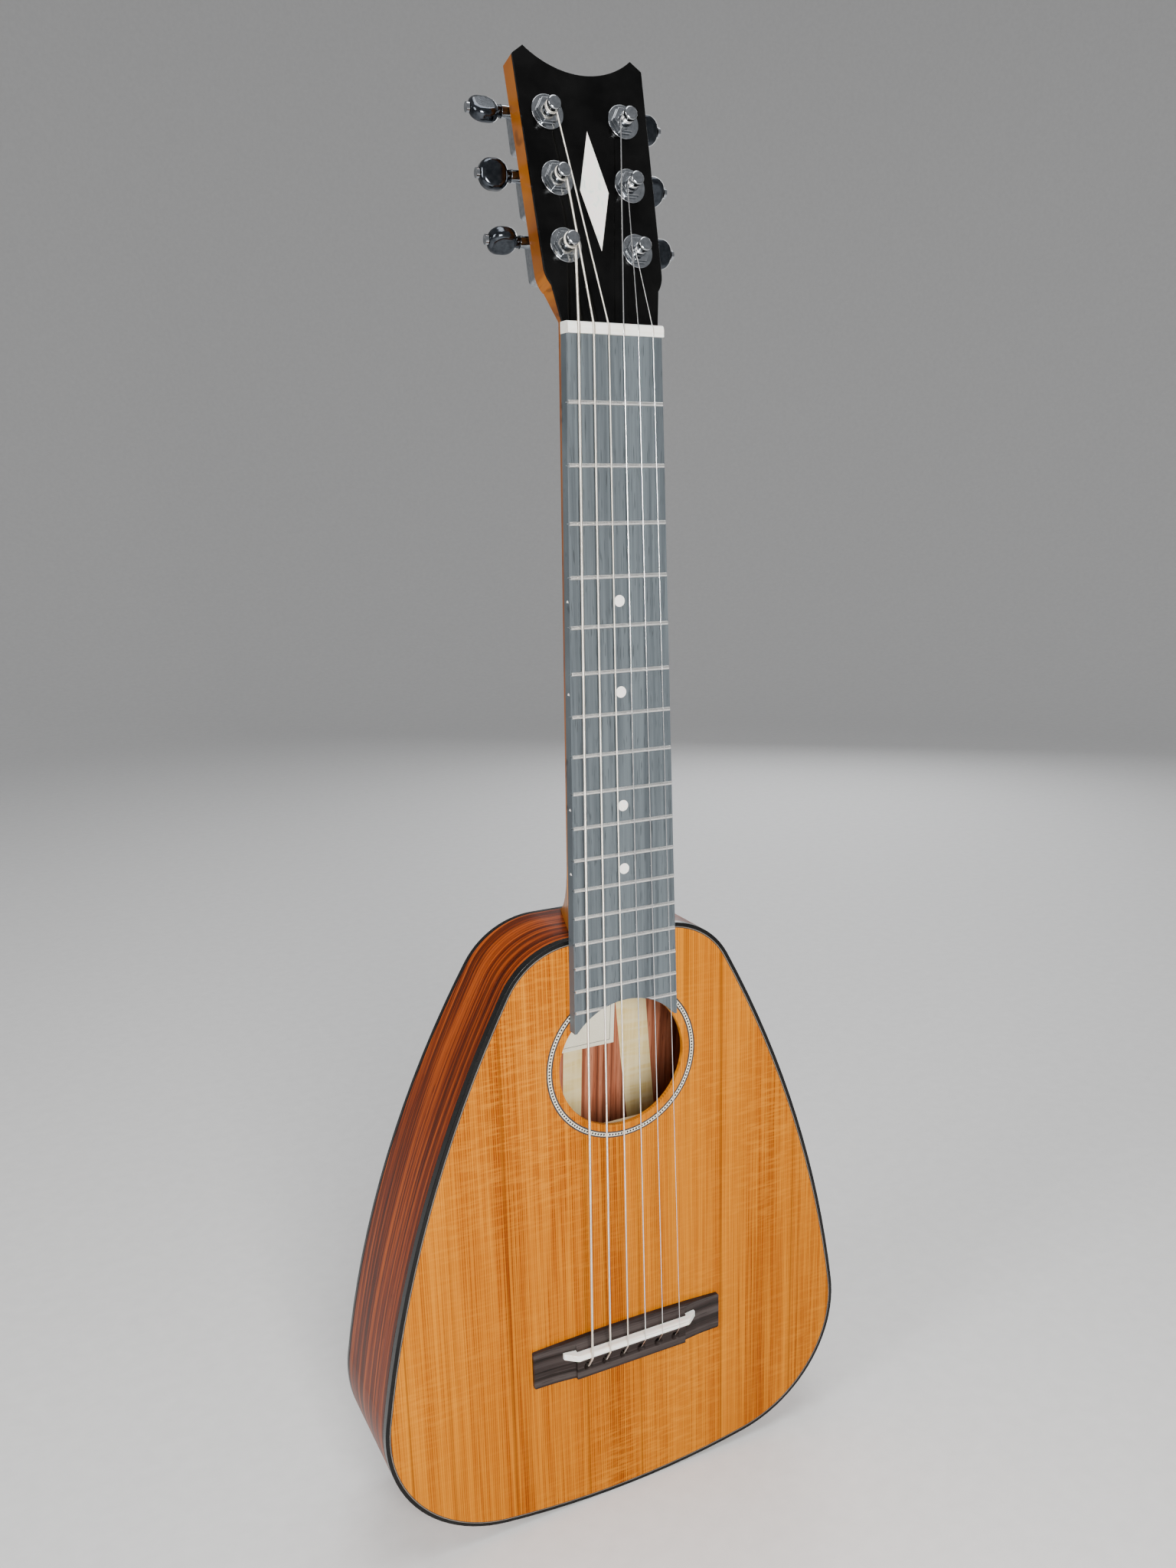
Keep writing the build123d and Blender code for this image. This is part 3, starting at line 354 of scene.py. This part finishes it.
def pearl(name):
    """Mother-of-pearl, with clouds of cool and warm light."""
    look = Look(name)
    clouds = look.noise((260.0, 260.0, 170.0), 4.0, 0.6, warp=1.2)
    tone = look.ramp(
        clouds,
        (0.28, 0.62, 0.72, 0.70),
        (0.45, 0.90, 0.90, 0.84),
        (0.58, 0.92, 0.84, 0.82),
        (0.72, 0.80, 0.90, 0.92),
    )
    look.set(base_color=tone, roughness=look.level(clouds, 0.3, 0.7, 0.14, 0.28), coat_weight=0.8)
    look.set(coat_roughness=0.04)
    look.bump(clouds, 0.00001, 0.4)
    return look.material


ROSETTE_W = 3.4 * MM
ROSETTE_LINE = 0.80 * MM             # width of the black lines at its edges
DOT_PITCH = 1.75 * MM
DOT_R = 0.60 * MM


def rosette_look(name):
    """White ring between two thin black lines, with one row of black dots round its middle."""
    look = Look(name)
    low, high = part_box("rosette")
    centre = (low + high) / 2
    outer = (high.x - low.x) / 2
    inner = outer - ROSETTE_W
    x = look.math("SUBTRACT", look.axis("X"), centre.x)
    z = look.math("SUBTRACT", look.axis("Z"), centre.z)
    radius = look.math("SQRT", look.math("ADD", look.math("MULTIPLY", x, x), look.math("MULTIPLY", z, z)))
    turn = look.math("ARCTAN2", z, x)
    edge_out = look.math("GREATER_THAN", radius, outer - ROSETTE_LINE)
    edge_in = look.math("LESS_THAN", radius, inner + ROSETTE_LINE)
    middle = (outer + inner) / 2
    count = round(2 * math.pi * middle / DOT_PITCH)
    cells = look.math("MULTIPLY", look.math("ADD", turn, math.pi), count / (2 * math.pi))
    along = look.math("MULTIPLY", look.math("SUBTRACT", look.math("FRACT", cells), 0.5), DOT_PITCH)
    off = look.math("SUBTRACT", radius, middle)
    squares = look.math("ADD", look.math("MULTIPLY", along, along), look.math("MULTIPLY", off, off))
    dots = look.math("LESS_THAN", look.math("SQRT", squares), DOT_R)
    black = look.math("MAXIMUM", look.math("MAXIMUM", edge_in, edge_out), dots)
    fleck = look.noise((900.0, 900.0, 900.0), 3.0, 0.6)
    white = look.ramp(fleck, (0.3, 0.60, 0.57, 0.47), (0.7, 0.72, 0.69, 0.60))
    look.set(base_color=look.mix(black, white, (0.015, 0.012, 0.010)))
    look.set(roughness=look.level(fleck, 0.3, 0.7, 0.28, 0.40), coat_weight=0.3, coat_roughness=0.15)
    look.bump(fleck, 0.00001, 0.3)
    return look.material


BORDER_IN = 2.5 * MM                 # from the label's edge to its ruled border
RULE_HALF = 0.22 * MM


def paper(name):
    """A blank paper label with a plain ruled border and a foxed, fibrous surface."""
    look = Look(name)
    low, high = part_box("label")
    fibres = look.noise((1400.0, 1400.0, 1400.0), 4.0, 0.7)
    stain = look.noise((60.0, 60.0, 60.0), 3.0, 0.6, shift=2.0)
    tone = look.ramp(fibres, (0.3, 0.84, 0.80, 0.62), (0.7, 0.94, 0.91, 0.76))
    tone = look.mix(look.level(stain, 0.55, 0.75, 0.0, 0.4), tone, (0.62, 0.52, 0.34))
    to_left = look.math("SUBTRACT", look.axis("X"), low.x)
    to_right = look.math("SUBTRACT", high.x, look.axis("X"))
    to_base = look.math("SUBTRACT", look.axis("Z"), low.z)
    to_top = look.math("SUBTRACT", high.z, look.axis("Z"))
    to_side = look.math("MINIMUM", to_left, to_right)
    edge = look.math("MINIMUM", to_side, look.math("MINIMUM", to_base, to_top))
    from_rule = look.math("ABSOLUTE", look.math("SUBTRACT", edge, BORDER_IN))
    rule = look.math("LESS_THAN", from_rule, RULE_HALF)
    tone = look.mix(look.math("MULTIPLY", rule, 0.75), tone, (0.10, 0.09, 0.08))
    look.set(base_color=tone, roughness=look.level(fibres, 0.3, 0.7, 0.75, 0.9))
    look.bump(fibres, 0.00004, 0.6)
    return look.material


def wound_string(name, pitch):
    """Bronze wrap wire round the core, as close turns along the string, with painted shade in the grooves between
    turns.
    """
    look = Look(name)
    phase = look.math("MULTIPLY", look.axis("Z"), 2 * math.pi / pitch)
    ridges = look.math("ABSOLUTE", look.math("SINE", look.math("MULTIPLY", phase, 0.5)))
    cloud = look.noise((500.0, 500.0, 60.0), 3.0, 0.6)
    tone = look.mix(look.level(cloud, 0.3, 0.7), (0.82, 0.76, 0.66), (0.95, 0.92, 0.86))
    # Painted shade: the grooves between the wrap turns are darkened.
    tone = look.mix(look.level(ridges, 0.0, 0.30, 0.55, 0.0), tone, (0.30, 0.24, 0.17))
    look.set(base_color=tone, metallic=1.0, roughness=look.level(cloud, 0.3, 0.7, 0.30, 0.42))
    look.bump(ridges, 0.00010, 0.5)
    return look.material


def floor_look(name):
    look = Look(name)
    speckle = look.noise((90.0, 90.0, 90.0), 3.0, 0.6)
    tone = look.ramp(speckle, (0.3, 0.66, 0.66, 0.66), (0.7, 0.70, 0.70, 0.70))
    look.set(base_color=tone, roughness=0.75)
    return look.material


# Dark, middle and light tone of each wood. The ebony tones are the wood's own near-black lifted to a bluish grey
# by painted sheen.
ROSEWOOD = ((0.020, 0.001, 0.000), (0.112, 0.012, 0.001), (0.340, 0.066, 0.006))
BARE_ROSEWOOD = ((0.140, 0.035, 0.016), (0.320, 0.090, 0.042), (0.520, 0.200, 0.110))
MAHOGANY = ((0.160, 0.042, 0.003), (0.290, 0.088, 0.007), (0.430, 0.155, 0.013))
SPRUCE = ((0.50, 0.36, 0.19), (0.66, 0.50, 0.29), (0.76, 0.62, 0.40))
# Painted sheen: ebony's near-black is lifted to a bluish grey, as grazing light would show it.
EBONY_WITH_PAINTED_SHEEN = ((0.052, 0.062, 0.071), (0.070, 0.084, 0.095), (0.092, 0.110, 0.123))
BRIDGE_WOOD = ((0.006, 0.004, 0.003), (0.022, 0.015, 0.014), (0.052, 0.042, 0.040))

LOOKS = {
    "cedar": cedar("cedar"),
    "rosewood_side": hardwood("rosewood_side", "Y", ROSEWOOD, 420.0, gloss=0.03, shine=0.08),
    "rosewood_back": hardwood("rosewood_back", "X", ROSEWOOD, 300.0, gloss=0.03, shine=0.08),
    "rosewood_inside": hardwood("rosewood_inside", "X", BARE_ROSEWOOD, 380.0, gloss=0.0, rough=0.6),
    "maple": maple("maple", 0.45),
    "mahogany": hardwood("mahogany", "X", MAHOGANY, 130.0, gloss=0.10, ink=0.25),
    "mahogany_block": hardwood("mahogany_block", "X", MAHOGANY, 90.0, gloss=0.0, rough=0.55, ink=0.2),
    "spruce": hardwood("spruce", "Y", SPRUCE, 300.0, gloss=0.0, rough=0.6, pores=0.0, ink=0.1),
    "ebony": hardwood("ebony", "X", EBONY_WITH_PAINTED_SHEEN, 420.0, pores=0.6, gloss=0.05, rough=0.40, ink=0.20),
    "bridge_wood": hardwood(
        "bridge_wood", "Z", BRIDGE_WOOD, 300.0, gloss=0.03, rough=0.36, ink=0.3, shine=0.10
    ),
    "binding": lacquer("binding", (0.003, 0.003, 0.003), 0.22, 0.1),
    "purfling_outer": lacquer("purfling_outer", (0.110, 0.095, 0.080), 0.20, 0.6),
    "purfling_inner": lacquer("purfling_inner", (0.010, 0.010, 0.010), 0.30, 0.2),
    "black_gloss": lacquer("black_gloss", (0.0006, 0.0006, 0.0006), 0.10, 0.04),
    "bone": bone("bone"),
    "pearl": pearl("pearl"),
    "rosette": rosette_look("rosette"),
    "paper": paper("paper"),
    "steel": metal("steel", (0.42, 0.42, 0.43), (0.58, 0.58, 0.58), 0.32),
    "nickel": metal("nickel", (0.84, 0.83, 0.80), (0.95, 0.94, 0.92), 0.26),
    # Painted reflection: both chrome tones are darkened to stand in for dark surroundings mirrored in them, a
    # little for the housings, bushings, screws and posts and strongly for the buttons.
    "chrome": metal("chrome", (0.30, 0.32, 0.34), (0.48, 0.50, 0.53), 0.08),
    "dark_chrome": metal("dark_chrome", (0.040, 0.046, 0.055), (0.085, 0.095, 0.110), 0.10),
    "plain_string": metal("plain_string", (0.74, 0.74, 0.75), (0.88, 0.88, 0.88), 0.18),
    "wound_string": wound_string("wound_string", 0.34 * MM),
}

NODE_LOOKS = {
    "soundboard": "cedar",
    "back_staves": "rosewood_back",
    "back_stripes": "maple",
    "side_bass": "rosewood_side",
    "side_treble": "rosewood_side",
    "top_binding": "binding",
    "back_binding": "binding",
    "rosette": "rosette",
    "neck_block": "mahogany_block",
    "tail_block": "mahogany_block",
    "linings": "spruce",
    "top_braces": "spruce",
    "back_braces": "spruce",
    "bridge_plate": "maple",
    "bridge": "bridge_wood",
    "saddle": "bone",
    "label": "paper",
    "neck": "mahogany",
    "truss_rod": "steel",
    "neck_bolts": "steel",
    "fretboard": "ebony",
    "frets": "nickel",
    "position_dots": "pearl",
    "nut": "bone",
    "headstock_veneer": "black_gloss",
    "headstock_inlay": "pearl",
    "tuner_housings": "chrome",
    "tuner_bushings": "chrome",
    "tuner_screws": "chrome",
}
STRINGS = range(1, 7)
LAST_PLAIN = 3                       # strings 1 to 3 are plain wire, and their posts face the other way
for k in STRINGS:
    string_look = "plain_string" if k <= LAST_PLAIN else "wound_string"
    NODE_LOOKS[f"string_{k}"] = string_look
    NODE_LOOKS[f"post_{k}"] = "chrome"
    NODE_LOOKS[f"worm_shaft_{k}"] = "chrome"
    NODE_LOOKS[f"button_{k}"] = "dark_chrome"

# Rounding of the hard edges, in millimetres. A node that isn't here keeps its CAD mesh.
EDGE_MM = {
    "top_binding": 0.35,
    "back_binding": 0.9,
    "bridge": 0.35,
    "saddle": 0.30,
    "nut": 0.40,
    "fretboard": 0.25,
    "frets": 0.38,
    "headstock_veneer": 0.25,
    "tuner_housings": 0.35,
    "tuner_bushings": 0.25,
    "tuner_screws": 0.20,
}


# --- pieces from CAD meshes -----------------------------------------------------------------------
WELD = 0.002 * MM                    # corners nearer than this are one corner
FLAT_DEGREES = 0.2                   # faces that meet flatter than this are one face
SMOOTH_DEGREES = 30                  # edges sharper than this stay sharp
BEVEL_DEGREES = 40                   # edges sharper than this are rounded
BEVEL_STEPS = 3


def body_of(node):
    bodies = record["behaviour"]["bodies"]
    return next(body for body, members in bodies.items() if node in members)


def new_piece(name, mesh, look, node):
    """A piece that stands for a CAD node: it rides on the node's body, and the node is hidden."""
    piece = bpy.data.objects.new(name, mesh)
    bpy.context.collection.objects.link(piece)
    mesh.materials.clear()
    mesh.materials.append(LOOKS[look])
    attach(piece, body_of(node))
    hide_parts(node)
    return piece


def smooth(mesh, degrees=SMOOTH_DEGREES):
    for polygon in mesh.polygons:
        polygon.use_smooth = True
    mesh.set_sharp_from_angle(angle=math.radians(degrees))


def welded(node):
    """A copy of a CAD node's mesh with its corners joined and its flat faces merged."""
    work = bmesh.new()
    work.from_mesh(frame["nodes"][node].data)
    bmesh.ops.remove_doubles(work, verts=work.verts, dist=WELD)
    bmesh.ops.dissolve_limit(
        work,
        angle_limit=math.radians(FLAT_DEGREES),
        verts=work.verts,
        edges=work.edges,
        use_dissolve_boundaries=False,
    )
    return work


def rounded_copy(node, width):
    """The node's shape with its hard edges rounded, `width` millimetres wide."""
    work = welded(node)
    mesh = bpy.data.meshes.new(f"{node}_rounded")
    work.to_mesh(mesh)
    work.free()
    piece = new_piece(f"{node}_rounded", mesh, NODE_LOOKS[node], node)
    smooth(mesh)
    bevel = piece.modifiers.new("edges", "BEVEL")
    bevel.width = width * MM
    bevel.segments = BEVEL_STEPS
    bevel.limit_method = "ANGLE"
    bevel.angle_limit = math.radians(BEVEL_DEGREES)
    bevel.harden_normals = True


def loose_parts(node):
    """The node's separate solids, each as a set of faces in one joined copy of its mesh."""
    work = welded(node)
    left = set(work.faces)
    parts = []
    while left:
        group, edge = set(), [left.pop()]
        while edge:
            face = edge.pop()
            group.add(face)
            for near in (n for e in face.edges for n in e.link_faces if n in left):
                left.discard(near)
                edge.append(near)
        parts.append(group)
    return work, parts


def part_mesh(name, faces):
    """A mesh of some of a bmesh's faces."""
    corners = {}
    for face in faces:
        for vert in face.verts:
            corners.setdefault(vert, len(corners))
    mesh = bpy.data.meshes.new(name)
    mesh.from_pydata([v.co for v in corners], [], [[corners[v] for v in f.verts] for f in faces])
    smooth(mesh)
    return mesh


def purfling_lines():
    """The glossy outer line and the black line inside it."""
    work, parts = loose_parts("top_purfling")
    parts.sort(key=lambda group: max(v.co.x for f in group for v in f.verts), reverse=True)
    for look, faces in zip(("purfling_outer", "purfling_inner"), parts):
        new_piece(look, part_mesh(look, sorted(faces, key=lambda f: f.index)), look, "top_purfling")
    work.free()


# --- string coils ---------------------------------------------------------------------------------
COIL_STEPS = 28                      # points in each turn
COIL_SIDES = 3                       # Blender's bevel resolution for the wire


def post_axis(k):
    """A point on the post's axis, and the axis direction."""
    joint = next(j for j in frame["joints"] if j["name"] == f"post_{k}_turn")
    return Vector(joint["pos_m"]), Vector(joint["axis"]).normalized()


def string_coil(k):
    """The string's turns round its post, as one helix with the height and radius of the CAD rings."""
    origin, axis = post_axis(k)
    side = Vector((1, 0, 0))
    ahead = axis.cross(side)
    heights, radii = [], []
    for vertex in frame["nodes"][f"winding_{k}"].data.vertices:
        offset = vertex.co - origin
        height = offset.dot(axis)
        heights.append(height)
        radii.append((offset - height * axis).length)
    thick = (max(radii) - min(radii)) / 2
    radius = (max(radii) + min(radii)) / 2
    bottom, top = min(heights) + thick, max(heights) - thick
    turns = max(1, round((top - bottom) / (2 * thick)))
    curve = bpy.data.curves.new(f"coil_{k}", "CURVE")
    curve.dimensions = "3D"
    curve.bevel_depth = thick
    curve.bevel_resolution = COIL_SIDES
    curve.use_fill_caps = True
    spline = curve.splines.new("NURBS")
    handed = 1 if k <= LAST_PLAIN else -1
    points = []
    for step in range(turns * COIL_STEPS + 1):
        angle = handed * 2 * math.pi * step / COIL_STEPS
        height = bottom + (top - bottom) * step / (turns * COIL_STEPS)
        outward = math.cos(angle) * side + math.sin(angle) * ahead
        points.append(origin + height * axis + radius * outward)
    spline.points.add(len(points) - 1)
    for point, place in zip(spline.points, points):
        point.co = (*place, 1.0)
    spline.order_u = 3
    spline.use_endpoint_u = True
    coil = bpy.data.objects.new(f"coil_{k}", curve)
    bpy.context.collection.objects.link(coil)
    curve.materials.append(LOOKS[NODE_LOOKS[f"string_{k}"]])
    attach(coil, f"post_{k}")
    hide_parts(f"winding_{k}")


# --- assembly -------------------------------------------------------------------------------------
def dress_cad():
    """Gives each CAD node its look, and the bare wood inside the back its own."""
    for node, look in NODE_LOOKS.items():
        if node in EDGE_MM:
            rounded_copy(node, EDGE_MM[node])
            continue
        for material_slot in frame["nodes"][node].material_slots:
            material_slot.material = LOOKS[look]
    staves = frame["nodes"]["back_staves"].data
    staves.materials.append(LOOKS["rosewood_inside"])
    inside = len(staves.materials) - 1
    for polygon in staves.polygons:
        if polygon.normal.y < 0:
            polygon.material_index = inside


def make_floor():
    """A round floor that curves up into a backdrop."""
    profile = [(FLOOR_R, 0.0)]
    for step in range(1, SWEEP_STEPS + 1):
        angle = math.pi / 2 * step / SWEEP_STEPS
        profile.append((FLOOR_R + SWEEP_R * math.sin(angle), SWEEP_R * (1 - math.cos(angle))))
    profile.append((FLOOR_R + SWEEP_R, SWEEP_R + WALL_UP))
    places, faces = [(0.0, 0.0, 0.0)], []
    for ring, (radius, height) in enumerate(profile):
        for spot in range(ROUND_STEPS):
            turn = 2 * math.pi * spot / ROUND_STEPS
            places.append((radius * math.cos(turn), radius * math.sin(turn), height))
            after = (spot + 1) % ROUND_STEPS
            if ring == 0:
                faces.append((0, 1 + spot, 1 + after))
            else:
                below, above = 1 + (ring - 1) * ROUND_STEPS, 1 + ring * ROUND_STEPS
                faces.append((below + spot, above + spot, above + after, below + after))
    mesh = bpy.data.meshes.new("floor")
    mesh.from_pydata(places, [], faces)
    smooth(mesh, FLOOR_SMOOTH_DEGREES)
    floor = bpy.data.objects.new("floor", mesh)
    floor.location.z = cad_box[0][2]
    bpy.context.collection.objects.link(floor)
    mesh.materials.append(floor_look("floor"))


make_camera()
make_lights()
make_floor()
dress_cad()
purfling_lines()
for k in STRINGS:
    string_coil(k)
